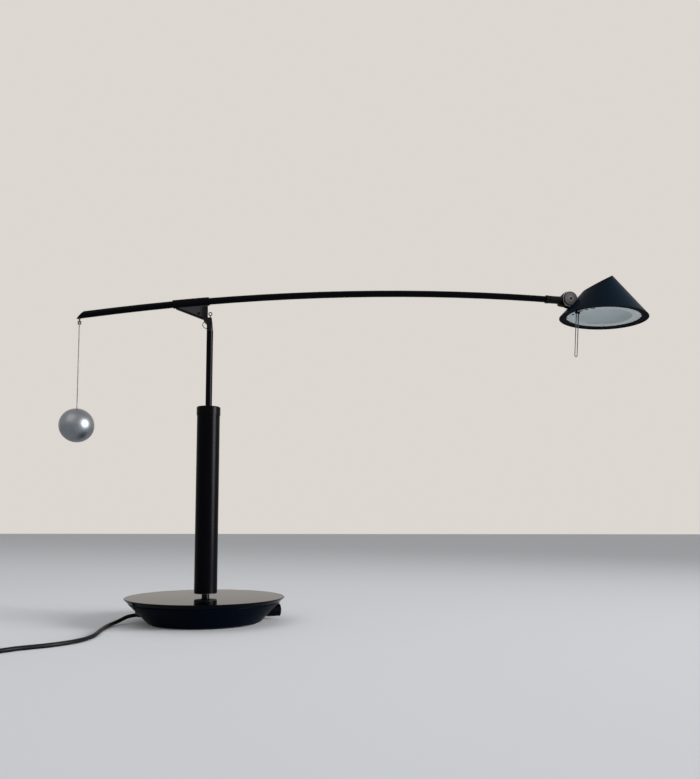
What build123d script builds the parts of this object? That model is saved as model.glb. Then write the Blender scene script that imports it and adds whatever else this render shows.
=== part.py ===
from build123d import *
import math
import os

# Counterweight balance desk lamp. A round base carries a post, a swivelling
# sleeve and stem, and a long bowed arm with a steel ball on a wire at one end
# and a conical shade at the other.
# Millimetres, +Z up, +X along the arm to the shade, origin under the base.

# ---------------------------------------------------------------- dimensions
run_fit = 0.05
loose_gap = 0.4

# base
mat_r = 78.0
mat_t = 2.0
foot_r = 82.5
bowl_r = 109.0
bowl_top = 31.0
bowl_wall = 3.5
cover_r = 80.0
cover_t = 1.5
screw_ring_r = cover_r - 3.0
plate_r = 115.0
plate_low_r = 110.0
plate_top = 36.9
plate_edge = 1.0
post_r = 5.6
post_bore = 3.0
post_flange_r = 18.0
post_flange_t = 3.5
toroid_r = 46.0
toroid_bore = 16.0
toroid_low = 9.0
toroid_high = 25.5

# dimmer
knob_angle = 12.0
knob_z = 13.5
knob_r = 9.25
knob_end = bowl_r + 4.5
knob_start = bowl_r - 29.0
knob_gap = 0.75
shaft_r = 3.0
pot_r = 8.0

# column
sleeve_r = 16.7
sleeve_wall = 1.5
sleeve_low = 42.3
sleeve_high = 303.5
collar_r = 17.4
collar_h = 12.5
stem_r = 4.8
stem_wall = 1.6
stem_top = 430.0
post_top = 296.0

# arm pivot
pivot_x = -6.4
pivot_z = 452.0
tongue_t = 7.0
cheek_t = 2.0
cheek_w = 5.8
cheek_top = 467.0
tongue_r = 5.0
slot_r = 5.8
pin_r = 1.5

# arm
arm_crest_x = 470.1
arm_crest_z = 507.8
arm_bow_r = 3508.9
arm_r = 5.0
arm_wall = 1.0
arm_back_x = -180.0
saddle_wall = 1.3
saddle_back_x = -54.7
saddle_front_x = -1.6

# counterweight
ball_r = 24.5
ball_z = 284.0
hang_x = -187.0
hang_z = 441.6
wire_r = 0.75
link_pin_r = 0.7

# head joint
disc_x = 574.0
disc_z = 509.0
disc_r = 12.5
back_disc_r = 13.5
disc_t = 6.0
disc_half_gap = 0.5
hub_r = 10.8
rim_drop = 2.4
notch_r = 14.2
arm_front_x = disc_x - 16.0
ferrule_x = disc_x - 41.0
ferrule_r = 6.1
ferrule_ring_r = 6.5

# shade
shade_x = 633.2
shade_z = 481.0
shade_tilt = 3.0
shade_r = 70.1
shade_h = 85.1
shade_wall = 0.9
cut_right = 0.836
cut_left = 0.510
cap_skirt = 3.8
mouth_r = 58.3
ring_low = 1.0
ring_high = 2.2
reflector_t = 0.6
reflector_r = 61.5
reflector_neck_r = 14.0
reflector_hole_r = 7.4
reflector_bowl_r = 44.0
reflector_apex = 31.4
slot_count = 5
slot_ring_r = 51.0
slot_first = 174.3
slot_pitch = 12.6
holder_r = 10.0
holder_h = 12.0
capsule_r = 5.5
capsule_tip = 16.0
handle_angle = 193.0
handle_r = mouth_r - 5.7
handle_gap = 4.4
handle_wire_r = 0.75
handle_low = -71.5

# mains lead
cord_d = 5.5
exit_z = 13.0
coil_x = -272.0
coil_y = -288.0
coil_r = 22.0
coil_pitch = 7.0
coil_step = 6.4
coil_turns = 3

os.makedirs("parts", exist_ok=True)


# ------------------------------------------------------------------- helpers
def outline(*points):
    """Fill the closed polygon through the points in the current sketch."""
    Polygon(*points, align=None)


def finish(builder, name):
    """Label a finished piece and write it."""
    builder.part.label = name
    export_step(builder.part, "parts/" + name + ".step")


def arm_height(x):
    """Height of the bowed arm's centre line at x."""
    reach = x - arm_crest_x
    return arm_crest_z - arm_bow_r + math.sqrt(arm_bow_r**2 - reach**2)


def arm_lean(x):
    """Angle of the arm's centre line at x, in degrees, falling to +X."""
    return math.degrees(math.asin((x - arm_crest_x) / arm_bow_r))


def arm_plane(x):
    """Plane across the arm at x, with its normal along the arm."""
    lean = math.radians(arm_lean(x))
    along = (math.cos(lean), 0, -math.sin(lean))
    return Plane(origin=(x, 0, arm_height(x)), x_dir=(0, 1, 0), z_dir=along)


def radial_plane(angle, z):
    """Upright plane through the axis: x runs outwards, y runs up."""
    a = math.radians(angle)
    outwards = (math.cos(a), math.sin(a), 0)
    sideways = (math.sin(a), -math.cos(a), 0)
    return Plane(origin=(0, 0, z), x_dir=outwards, z_dir=sideways)


def radial_face(angle, z, r):
    """Plane square to a radius at distance r, with its normal outwards."""
    a = math.radians(angle)
    outwards = Vector(math.cos(a), math.sin(a), 0)
    return Plane(origin=outwards * r + Vector(0, 0, z), x_dir=(0, 0, 1), z_dir=outwards)


arm_axis = Axis((arm_crest_x, 0, arm_crest_z - arm_bow_r), (0, 1, 0))
knob_plane = radial_plane(knob_angle, knob_z)
knob_axis = Axis(knob_plane.origin, knob_plane.x_dir)
exit_plane = radial_plane(180, exit_z)
exit_axis = Axis(exit_plane.origin, exit_plane.x_dir)

# ---------------------------------------------------------------- base body
cover_top = mat_t + cover_t
bowl_slope = (bowl_r - foot_r) / (bowl_top - mat_t)

# rubber mat under the foot
with BuildPart() as foot_mat:
    with BuildSketch():
        Circle(mat_r)
    extrude(amount=mat_t)
    fillet(foot_mat.edges().group_by(Axis.Z)[0], 0.6)
finish(foot_mat, "foot_mat")

# sheet cover that closes the bowl from below, with three screw holes
with BuildPart() as bottom_cover:
    with BuildSketch(Plane.XY.offset(mat_t)):
        Circle(cover_r)
        with PolarLocations(screw_ring_r, 3, start_angle=70):
            Circle(1.4, mode=Mode.SUBTRACT)
    extrude(amount=cover_t)
    with BuildSketch(Plane.XY.offset(mat_t)):
        with PolarLocations(screw_ring_r, 3, start_angle=70):
            Circle(2.6)
    extrude(amount=1.0, mode=Mode.SUBTRACT)
finish(bottom_cover, "bottom_cover")

with BuildPart() as cover_screws:
    with BuildSketch(Plane.XY.offset(mat_t)):
        with PolarLocations(screw_ring_r, 3, start_angle=70):
            Circle(2.6)
    extrude(amount=1.0)
    with BuildSketch(Plane.XY.offset(mat_t)):
        with PolarLocations(screw_ring_r, 3, start_angle=70):
            Circle(1.4)
    extrude(amount=3.6)
finish(cover_screws, "cover_screws")

# spun bowl with a ledge for the cover, a knob hole and a lead hole
with BuildPart() as base_bowl:
    with BuildSketch(Plane.XZ):
        low_in = foot_r + bowl_slope * 4.0 - bowl_wall
        high_in = foot_r + bowl_slope * 25.0 - bowl_wall
        with BuildLine():
            Polyline(
                (cover_r + 0.2, cover_top),
                (cover_r + 0.2, mat_t),
                (foot_r - 0.6, mat_t),
                (foot_r + 0.6, mat_t + 1.2),
                (bowl_r - 0.6, bowl_top - 2.2),
            )
            ThreePointArc(
                (bowl_r - 0.6, bowl_top - 2.2),
                (bowl_r - 0.2, bowl_top - 0.9),
                (bowl_r - 1.4, bowl_top),
            )
            Polyline(
                (bowl_r - 1.4, bowl_top),
                (high_in, bowl_top),
                (high_in, bowl_top - 4.0),
                (low_in, mat_t + 4.0),
                (74, mat_t + 4.0),
                (74, cover_top),
                (cover_r + 0.2, cover_top),
            )
        make_face()
    revolve(axis=Axis.Z)
    with BuildSketch(radial_face(knob_angle, knob_z, knob_start - 1)):
        Circle(knob_r + knob_gap)
    extrude(amount=40, mode=Mode.SUBTRACT)
    with BuildSketch(radial_face(180, exit_z, 80)):
        Circle(4.6)
    extrude(amount=30, mode=Mode.SUBTRACT)
    with BuildSketch(Plane.XY.offset(cover_top)):
        with PolarLocations(screw_ring_r, 3, start_angle=70):
            Circle(1.4)
    extrude(amount=2.1, mode=Mode.SUBTRACT)
finish(base_bowl, "base_bowl")

# thick top plate: bevelled lip outside, locating ring below
spigot_r = foot_r + bowl_slope * 25.0 - bowl_wall - 0.2
with BuildPart() as top_plate:
    with BuildSketch(Plane.XZ):
        outline(
            (post_r, bowl_top),
            (spigot_r - 3, bowl_top),
            (spigot_r - 3, bowl_top - 2.5),
            (spigot_r, bowl_top - 2.5),
            (spigot_r, bowl_top),
            (plate_low_r, bowl_top),
            (plate_r, plate_top - plate_edge),
            (plate_r - 0.5, plate_top - 0.25),
            (plate_r - 1.5, plate_top),
            (post_r, plate_top),
        )
    revolve(axis=Axis.Z)
finish(top_plate, "top_plate")

# hollow post with a flange under the top plate
flange_low = bowl_top - post_flange_t
post_low = cover_top + 0.5
with BuildPart() as post:
    with BuildSketch(Plane.XZ):
        outline(
            (post_bore, post_low),
            (post_r, post_low),
            (post_r, flange_low),
            (post_flange_r, flange_low),
            (post_flange_r, bowl_top),
            (post_r, bowl_top),
            (post_r, post_top - 0.8),
            (post_r - 0.8, post_top),
            (post_bore, post_top),
        )
    revolve(axis=Axis.Z)
finish(post, "post")

# ring transformer held under the flange by a washer and a nut
with BuildPart() as transformer_pad:
    with BuildSketch(Plane.XY.offset(toroid_high)):
        Circle(32)
        Circle(post_r, mode=Mode.SUBTRACT)
    extrude(amount=flange_low - toroid_high)
finish(transformer_pad, "transformer_pad")

with BuildPart() as transformer:
    with BuildSketch(Plane.XY.offset(toroid_low)):
        Circle(toroid_r)
        Circle(toroid_bore, mode=Mode.SUBTRACT)
    extrude(amount=toroid_high - toroid_low)
    fillet(transformer.edges(), 4.0)
finish(transformer, "transformer")

with BuildPart() as transformer_washer:
    with BuildSketch(Plane.XY.offset(toroid_low - 1.2)):
        Circle(28)
        Circle(post_r, mode=Mode.SUBTRACT)
    extrude(amount=1.2)
finish(transformer_washer, "transformer_washer")

with BuildPart() as post_nut:
    with BuildSketch(Plane.XY.offset(post_low)):
        RegularPolygon(9.5, 6)
        Circle(post_r, mode=Mode.SUBTRACT)
    extrude(amount=toroid_low - 1.2 - post_low)
finish(post_nut, "post_nut")

# dimmer: upright board, potentiometer with its bush, and a choke behind
with BuildPart() as dimmer_board:
    with BuildSketch(radial_face(knob_angle, cover_top + 11, 56)):
        Rectangle(22, 40)
    extrude(amount=1.6)
finish(dimmer_board, "dimmer_board")

with BuildPart() as potentiometer:
    with BuildSketch(knob_plane):
        outline(
            (57.6, 0),
            (57.6, pot_r),
            (66, pot_r),
            (66, 4.5),
            (72, 4.5),
            (72, shaft_r + run_fit),
            (60, shaft_r + run_fit),
            (60, 0),
        )
    revolve(axis=knob_axis)
finish(potentiometer, "potentiometer")

with BuildPart() as dimmer_choke:
    with BuildSketch(radial_face(knob_angle, knob_z, 49)):
        with Locations((1, 13)):
            Circle(6)
            Circle(2.5, mode=Mode.SUBTRACT)
    extrude(amount=7)
    fillet(dimmer_choke.edges(), 1.2)
finish(dimmer_choke, "dimmer_choke")

# screw terminals where the lead ends
with BuildPart() as terminal_block:
    with BuildSketch(Plane.XY.offset(cover_top)):
        with Locations((-64, 0)):
            Rectangle(16, 20)
    extrude(amount=14)
    with BuildSketch(Plane.XY.offset(cover_top + 14)):
        with Locations((-64, -5), (-64, 5)):
            Circle(2.2)
    extrude(amount=-1.5, mode=Mode.SUBTRACT)
finish(terminal_block, "terminal_block")

# tapered strain relief in the bowl wall
relief_end = 99.0
with BuildPart() as strain_relief:
    with BuildSketch(exit_plane):
        outline(
            (79, cord_d / 2),
            (79, 6.2),
            (81, 6.2),
            (82.5, 4.6),
            (94, 4.6),
            (relief_end, 3.5),
            (relief_end, cord_d / 2),
        )
    revolve(axis=exit_axis)
finish(strain_relief, "strain_relief")

# ----------------------------------------------------------------- knob body
with BuildPart() as dimmer_shaft:
    with BuildSketch(radial_face(knob_angle, knob_z, 60.5)):
        Circle(shaft_r)
    extrude(amount=35)
finish(dimmer_shaft, "dimmer_shaft")

dome_r = ((knob_r - 1.2) ** 2 + 0.9**2) / (2 * 0.9)
dome_turn = math.asin((knob_r - 1.2) / dome_r)
# round knob with a slightly domed end, a fine groove and a pointer dot
with BuildPart() as dimmer_knob:
    with BuildSketch(knob_plane):
        with BuildLine():
            Polyline(
                (95.5, 0),
                (95.5, shaft_r),
                (knob_start, shaft_r),
                (knob_start, knob_r - 0.6),
                (knob_start + 0.6, knob_r),
                (knob_end - 3.4, knob_r),
                (knob_end - 3.1, knob_r - 0.3),
                (knob_end - 2.8, knob_r),
                (knob_end - 1.6, knob_r),
            )
            ThreePointArc(
                (knob_end - 1.6, knob_r),
                (knob_end - 1.1, knob_r - 0.5),
                (knob_end - 0.9, knob_r - 1.2),
            )
            ThreePointArc(
                (knob_end - 0.9, knob_r - 1.2),
                (knob_end - dome_r * (1 - math.cos(dome_turn / 2)), dome_r * math.sin(dome_turn / 2)),
                (knob_end, 0),
            )
            Line((knob_end, 0), (95.5, 0))
        make_face()
    revolve(axis=knob_axis)
    with BuildSketch(radial_face(knob_angle, knob_z, knob_end - 0.9)):
        with Locations((knob_r - 2.6, 0)):
            Circle(0.7)
    extrude(amount=2, mode=Mode.SUBTRACT)
finish(dimmer_knob, "dimmer_knob")

# --------------------------------------------------------------- column body
bore_r = sleeve_r - sleeve_wall

with BuildPart() as sleeve_tube:
    with BuildSketch(Plane.XY.offset(sleeve_low)):
        Circle(sleeve_r)
        Circle(bore_r, mode=Mode.SUBTRACT)
    extrude(amount=sleeve_high - sleeve_low)
    chamfer(sleeve_tube.edges().filter_by(GeomType.CIRCLE).group_by(Axis.Z)[0], 0.4)
finish(sleeve_tube, "sleeve_tube")

# lower bush with the inset ring that shows under the sleeve
with BuildPart() as lower_bush:
    with BuildSketch(Plane.XZ):
        outline(
            (post_r + run_fit, sleeve_low - 0.8),
            (sleeve_r - 0.6, sleeve_low - 0.8),
            (sleeve_r - 0.6, sleeve_low),
            (bore_r, sleeve_low),
            (bore_r, sleeve_low + 20),
            (post_r + run_fit, sleeve_low + 20),
        )
    revolve(axis=Axis.Z)
finish(lower_bush, "lower_bush")

with BuildPart() as upper_bush:
    with BuildSketch(Plane.XY.offset(post_top - 20)):
        Circle(bore_r)
        Circle(post_r + run_fit, mode=Mode.SUBTRACT)
    extrude(amount=15)
finish(upper_bush, "upper_bush")

# disc that bears on the end of the post
with BuildPart() as thrust_disc:
    with BuildSketch(Plane.XY.offset(post_top + run_fit)):
        Circle(12)
    extrude(amount=2)
finish(thrust_disc, "thrust_disc")

collar_top = sleeve_high + collar_h
with BuildPart() as sleeve_collar:
    with BuildSketch(Plane.XZ):
        with BuildLine():
            Polyline(
                (stem_r, collar_top),
                (stem_r, post_top + run_fit + 2),
                (bore_r, post_top + run_fit + 2),
                (bore_r, sleeve_high),
                (collar_r, sleeve_high),
                (collar_r, collar_top - 1.5),
            )
            ThreePointArc(
                (collar_r, collar_top - 1.5),
                (collar_r - 0.44, collar_top - 0.44),
                (collar_r - 1.5, collar_top),
            )
            Line((collar_r - 1.5, collar_top), (stem_r, collar_top))
        make_face()
    revolve(axis=Axis.Z)
finish(sleeve_collar, "sleeve_collar")

with BuildPart() as stem:
    with BuildSketch(Plane.XY.offset(post_top + run_fit + 2)):
        Circle(stem_r)
        Circle(stem_r - stem_wall, mode=Mode.SUBTRACT)
    extrude(amount=stem_top - post_top - run_fit - 2)
finish(stem, "stem")

# fork on the stem: a tapering neck, a yoke and two straight cheeks
fork_half = tongue_t / 2 + run_fit + cheek_t
slot_half = tongue_t / 2 + run_fit
cheek_back = pivot_x - cheek_w / 2
cheek_front = pivot_x + cheek_w / 2
yoke_low = pivot_z - 11
with BuildPart() as stem_head:
    with BuildSketch(Plane.XY.offset(stem_top)):
        Circle(stem_r)
    with BuildSketch(Plane.XY.offset(yoke_low)):
        with Locations((-0.6, 0)):
            RectangleRounded(8.6, 2 * fork_half, 1.6)
    loft()
    with BuildSketch(Plane.XZ):
        outline(
            (cheek_back, cheek_top),
            (cheek_back, pivot_z - 6.8),
            (-4.9, yoke_low),
            (3.7, yoke_low),
            (2.5, pivot_z - 2),
            (cheek_front + 0.4, pivot_z - 2),
            (cheek_front, pivot_z - 1),
            (cheek_front, cheek_top),
        )
    extrude(amount=fork_half, both=True)
    with BuildSketch(Plane.XZ):
        with Locations((pivot_x, pivot_z)):
            Circle(slot_r)
        outline(
            (cheek_back - 1, cheek_top + 1),
            (cheek_back - 1, pivot_z - slot_r),
            (pivot_x, pivot_z - slot_r),
            (pivot_x, pivot_z),
            (cheek_front + 9, pivot_z),
            (cheek_front + 9, cheek_top + 1),
        )
    extrude(amount=slot_half, both=True, mode=Mode.SUBTRACT)
    with BuildSketch(Plane.XZ):
        with Locations((pivot_x, pivot_z)):
            Circle(pin_r)
    extrude(amount=fork_half + 1, both=True, mode=Mode.SUBTRACT)
    fillet(stem_head.edges().filter_by(Axis.Y).group_by(Axis.Z)[-1], 1.8)
finish(stem_head, "stem_head")

# riveted pivot pin, tight in the cheeks and free in the tongue
with BuildPart() as pivot_pin:
    with BuildSketch(Plane.XZ.offset(-fork_half)):
        with Locations((pivot_x, pivot_z)):
            Circle(pin_r)
    extrude(amount=2 * fork_half)
    for side in (-1, 1):
        with BuildSketch(Plane.XZ.offset(side * fork_half)):
            with Locations((pivot_x, pivot_z)):
                Circle(2.1)
        extrude(amount=side * 0.5)
finish(pivot_pin, "pivot_pin")

# small open eye that guides the low voltage lead over the joint
eye_x = 0.4
eye_z = 455.4
eye_y = -4.6
with BuildPart() as lead_eye:
    with BuildSketch(Plane((eye_x, eye_y, pivot_z - 2), x_dir=(1, 0, 0), z_dir=(0, 0, 1))):
        Circle(0.9)
    extrude(amount=2.6)
    with BuildSketch(Plane((eye_x + 2.3, eye_y, eye_z), x_dir=(1, 0, 0), z_dir=(0, 0, 1))):
        Circle(0.75)
    revolve(axis=Axis((eye_x, eye_y, eye_z), (0, 1, 0)))
finish(lead_eye, "lead_eye")

# ------------------------------------------------------------------ arm body
bow = Plane.XZ
with BuildPart() as arm_tube:
    with BuildSketch(arm_plane(arm_back_x)):
        Circle(arm_r)
        Circle(arm_r - arm_wall, mode=Mode.SUBTRACT)
    revolve(axis=arm_axis, revolution_arc=arm_lean(arm_front_x) - arm_lean(arm_back_x))
finish(arm_tube, "arm_tube")

# bracket: a sleeve round the arm with a wedge shaped tongue below
saddle_r = arm_r + saddle_wall
tongue_front = cheek_front - 0.1
with BuildPart() as arm_bracket:
    with BuildSketch(arm_plane(saddle_back_x)):
        Circle(saddle_r)
    revolve(axis=arm_axis, revolution_arc=arm_lean(saddle_front_x) - arm_lean(saddle_back_x))
    with BuildSketch(Plane.XZ):
        with BuildLine():
            reach = math.hypot(-50.2 - pivot_x, 461.9 - pivot_z)
            bearing = math.atan2(461.9 - pivot_z, -50.2 - pivot_x)
            touch = bearing + math.acos(tongue_r / reach)
            tangent_at = (
                pivot_x + tongue_r * math.cos(touch),
                pivot_z + tongue_r * math.sin(touch),
            )
            corner_z = pivot_z - math.sqrt(tongue_r**2 - (tongue_front - pivot_x) ** 2)
            Polyline(
                (tongue_front, corner_z),
                (tongue_front, arm_height(tongue_front)),
                (-50.2, arm_height(-50.2)),
                (-50.2, 461.9),
                tangent_at,
            )
            ThreePointArc(
                tangent_at,
                (pivot_x, pivot_z - tongue_r),
                (tongue_front, corner_z),
            )
        make_face()
    extrude(amount=tongue_t / 2, both=True)
    with BuildSketch(arm_plane(saddle_back_x - 10)):
        Circle(arm_r)
    revolve(
        axis=arm_axis,
        revolution_arc=arm_lean(saddle_front_x + 10) - arm_lean(saddle_back_x - 10),
        mode=Mode.SUBTRACT,
    )
    with BuildSketch(Plane.XZ):
        with Locations((pivot_x, pivot_z)):
            Circle(pin_r + run_fit)
    extrude(amount=tongue_t, both=True, mode=Mode.SUBTRACT)
    with BuildSketch(Plane.XZ.offset(tongue_t / 2)):
        with Locations((-16.2, 455.9)):
            Circle(1.2)
    extrude(amount=-3, mode=Mode.SUBTRACT)
finish(arm_bracket, "arm_bracket")

with BuildPart() as bracket_screw:
    with BuildSketch(Plane.XZ.offset(tongue_t / 2)):
        with Locations((-16.2, 455.9)):
            Circle(1.2)
    extrude(amount=-3)
    with BuildSketch(Plane.XZ.offset(tongue_t / 2)):
        with Locations((-16.2, 455.9)):
            Circle(1.9)
    extrude(amount=0.8)
    fillet(bracket_screw.edges().group_by(Axis.Y)[0], 0.4)
    with BuildSketch(Plane.XZ.offset(tongue_t / 2 + 0.8)):
        with Locations((-16.2, 455.9)):
            Rectangle(2.6, 0.5)
    extrude(amount=-0.4, mode=Mode.SUBTRACT)
finish(bracket_screw, "bracket_screw")

# solid plug, cut to a chisel, with a slot for the link
with BuildPart() as arm_plug:
    with BuildSketch(arm_plane(arm_back_x)):
        Circle(arm_r)
    extrude(amount=-12)
    with BuildSketch(arm_plane(arm_back_x)):
        Circle(arm_r - arm_wall)
    extrude(amount=10)
    back_z = arm_height(arm_back_x)
    with BuildSketch(Plane.XZ):
        outline(
            (arm_back_x + 0.5, back_z + arm_r + 1.4),
            (arm_back_x - 0.4, back_z + arm_r - 0.1),
            (-191.0, 440.0),
            (-191.3, 438.4),
            (-195, 438.4),
            (-195, back_z + 12),
        )
    extrude(amount=8, both=True, mode=Mode.SUBTRACT)
    with BuildSketch(Plane.XZ):
        outline((-196, 436), (-196, 439.1), (-184, 439.4), (-180.2, 441.4), (-180.2, 436))
    extrude(amount=8, both=True, mode=Mode.SUBTRACT)
    with BuildSketch(Plane.XZ):
        with Locations((hang_x, hang_z - 2.3)):
            Rectangle(7.4, 8)
    extrude(amount=1.2, both=True, mode=Mode.SUBTRACT)
    with BuildSketch(Plane.XZ):
        with Locations((hang_x, hang_z)):
            Circle(link_pin_r)
    extrude(amount=8, both=True, mode=Mode.SUBTRACT)
finish(arm_plug, "arm_plug")

with BuildPart() as hanger_pin:
    with BuildSketch(Plane.XZ):
        with Locations((hang_x, hang_z)):
            Circle(link_pin_r)
    extrude(amount=3.4, both=True)
finish(hanger_pin, "hanger_pin")

# front fitting: ringed ferrule on the tube and the fixed half of the disc joint
with BuildPart() as arm_end:
    with BuildSketch(arm_plane(ferrule_x)):
        Circle(ferrule_ring_r)
    extrude(amount=5.0)
    fillet(arm_end.edges().filter_by(GeomType.CIRCLE), 0.6)
    with BuildSketch(arm_plane(ferrule_x + 5.0)):
        Circle(ferrule_r - 0.6)
    extrude(amount=1.6)
    with BuildSketch(arm_plane(ferrule_x + 6.6)):
        Circle(ferrule_r)
    extrude(amount=19.5)
    with BuildSketch(Plane.XZ.offset(-disc_half_gap)):
        with Locations((disc_x, disc_z)):
            Circle(back_disc_r)
        outline(
            (disc_x - 18, disc_z - 9.0),
            (disc_x - 15, disc_z - 10.8),
            (disc_x, disc_z - 12),
            (disc_x, disc_z + 12),
            (disc_x - 18, disc_z + 3.2),
        )
    extrude(amount=-disc_t)
    with BuildSketch(arm_plane(ferrule_x - 5)):
        Circle(arm_r)
    bored = arm_lean(arm_front_x) - arm_lean(ferrule_x - 5)
    revolve(axis=arm_axis, revolution_arc=bored, mode=Mode.SUBTRACT)
    with BuildSketch(Plane.XZ.offset(0)):
        with Locations((disc_x, disc_z)):
            Circle(disc_r + loose_gap)
    extrude(amount=8, mode=Mode.SUBTRACT)
    with BuildSketch(Plane.XZ):
        with Locations((disc_x, disc_z)):
            Circle(2.0)
    extrude(amount=-5, mode=Mode.SUBTRACT)
finish(arm_end, "arm_end")

with BuildPart() as friction_washer:
    with BuildSketch(Plane.XZ.offset(-disc_half_gap)):
        with Locations((disc_x, disc_z)):
            Circle(10)
            Circle(3.0, mode=Mode.SUBTRACT)
    extrude(amount=2 * disc_half_gap - run_fit)
finish(friction_washer, "friction_washer")

# socket screw through both discs
with BuildPart() as joint_screw:
    with BuildSketch(Plane.XZ.offset(disc_half_gap + disc_t)):
        with Locations((disc_x, disc_z)):
            Circle(3.0)
    extrude(amount=-(disc_t + 2 * disc_half_gap))
    with BuildSketch(Plane.XZ.offset(-disc_half_gap)):
        with Locations((disc_x, disc_z)):
            Circle(2.0)
    extrude(amount=-3.5)
    with BuildSketch(Plane.XZ.offset(disc_half_gap + disc_t)):
        with Locations((disc_x, disc_z)):
            RegularPolygon(1.7, 6)
    extrude(amount=-3, mode=Mode.SUBTRACT)
finish(joint_screw, "joint_screw")

# --------------------------------------------------------------- hanger body
# flat link: hangs on the plug's pin and carries the cross pin of the wire
cross_z = hang_z - 5.8
with BuildPart() as swivel_link:
    with BuildSketch(Plane.XZ):
        with Locations((hang_x, hang_z)):
            Circle(1.6)
        with Locations((hang_x, (hang_z + cross_z) / 2)):
            Rectangle(2.0, hang_z - cross_z + 1.6)
        with Locations((hang_x, hang_z)):
            Circle(link_pin_r + run_fit, mode=Mode.SUBTRACT)
    extrude(amount=0.8, both=True)
    with BuildSketch(Plane.YZ.offset(hang_x)):
        with Locations((0, cross_z)):
            Circle(0.6)
    extrude(amount=2.6, both=True)
finish(swivel_link, "swivel_link")

# --------------------------------------------------------------- weight body
yoke_bottom = cross_z - 4.2
with BuildPart() as wire_yoke:
    with BuildSketch(Plane.YZ.offset(hang_x)):
        with Locations((0, cross_z)):
            Circle(1.3)
        with Locations((0, cross_z - 1.9)):
            Rectangle(2.0, 3.8)
    extrude(amount=2.3, both=True)
    with BuildSketch(Plane.YZ.offset(hang_x)):
        with Locations((0, cross_z)):
            Circle(0.6 + run_fit)
    extrude(amount=4, both=True, mode=Mode.SUBTRACT)
    with BuildSketch(Plane.YZ.offset(hang_x)):
        with Locations((0, cross_z + 0.4)):
            Rectangle(6, 4.8)
    extrude(amount=1.15, both=True, mode=Mode.SUBTRACT)
    with BuildSketch(Plane.XY.offset(yoke_bottom)):
        with Locations((hang_x, 0)):
            Circle(1.2)
    extrude(amount=1.8)
finish(wire_yoke, "wire_yoke")

ball_top = ball_z + ball_r
with BuildPart() as weight_wire:
    with BuildSketch(Plane.XY.offset(ball_top - 6)):
        with Locations((hang_x, 0)):
            Circle(wire_r)
    extrude(amount=yoke_bottom - ball_top + 6)
finish(weight_wire, "weight_wire")

with BuildPart() as counterweight:
    with Locations((hang_x, 0, ball_z)):
        Sphere(ball_r)
    with BuildSketch(Plane.XY.offset(ball_top - 6)):
        with Locations((hang_x, 0)):
            Circle(wire_r)
    extrude(amount=8, mode=Mode.SUBTRACT)
finish(counterweight, "counterweight")

# ----------------------------------------------------------------- head body
tilt = math.radians(shade_tilt)
shade_out = Vector(math.cos(tilt), 0, -math.sin(tilt))
shade_up = Vector(math.sin(tilt), 0, math.cos(tilt))
shade_at = Vector(shade_x, 0, shade_z)
shade_side = Plane(origin=shade_at, x_dir=shade_out, z_dir=(0, -1, 0))
shade_base = Plane(origin=shade_at, x_dir=shade_out, z_dir=shade_up)
shade_axis = Axis(shade_at, shade_up)
flank = math.atan2(shade_r, shade_h)
wall_across = shade_wall / math.cos(flank)
wall_up = wall_across * shade_h / shade_r


def shell_radius(h):
    """Inner radius of the conical shade at height h over its rim."""
    return (shade_r - wall_across) - h * shade_r / shade_h


# the oblique cut runs from low on the arm's side to high on the far side
cut_a = Vector(-shade_r * (1 - cut_left), shade_h * cut_left)
cut_b = Vector(shade_r * (1 - cut_right), shade_h * cut_right)
cut_along = (cut_b - cut_a).normalized()
cut_normal = Vector(-cut_along.Y, cut_along.X)
cut_dir = shade_out * cut_normal.X + shade_up * cut_normal.Y
cut_at = shade_at + shade_out * cut_a.X + shade_up * cut_a.Y
cut_plane = Plane(origin=cut_at, x_dir=(0, 1, 0), z_dir=cut_dir)

with BuildPart() as shade:
    with BuildSketch(shade_side):
        outline(
            (shade_r, 0),
            (0, shade_h),
            (0, shade_h - wall_up),
            (shade_r - wall_across, 0),
        )
    revolve(axis=shade_axis)
    split(bisect_by=cut_plane.offset(-cap_skirt), keep=Keep.BOTTOM)
    with BuildSketch(Plane.XZ):
        with Locations((disc_x, disc_z)):
            Circle(notch_r)
    extrude(amount=disc_half_gap + disc_t + 0.6, both=True, mode=Mode.SUBTRACT)
finish(shade, "shade")

# cap that closes the cut, with slots that let the heat out
with BuildPart() as vent_cap:
    with BuildSketch(shade_side):
        outline((shade_r, 0), (0, shade_h), (0, 0))
    revolve(axis=shade_axis)
    split(bisect_by=cut_plane, keep=Keep.BOTTOM)
    split(bisect_by=cut_plane.offset(-cap_skirt), keep=Keep.TOP)
    with BuildPart(mode=Mode.PRIVATE) as cap_core:
        with BuildSketch(shade_side):
            outline((shade_r - wall_across, 0), (0, shade_h - wall_up), (0, 0))
        revolve(axis=shade_axis)
        split(bisect_by=cut_plane.offset(-1.2), keep=Keep.BOTTOM)
    add(cap_core.part, mode=Mode.SUBTRACT)
    cap_mid = (cut_b - cut_a).length / 2
    with BuildSketch(cut_plane):
        with Locations((0, -cap_mid)):
            with GridLocations(5.4, 1, 5, 1):
                SlotOverall(24, 2.6, rotation=90)
    extrude(amount=-3, mode=Mode.SUBTRACT)
finish(vent_cap, "vent_cap")

# flat ring turned in at the rim
with BuildPart() as rim_ring:
    with BuildSketch(shade_side):
        outline(
            (mouth_r, ring_low),
            (shell_radius(ring_low), ring_low),
            (shell_radius(ring_high), ring_high),
            (mouth_r, ring_high),
        )
    revolve(axis=shade_axis)
finish(rim_ring, "rim_ring")

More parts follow.
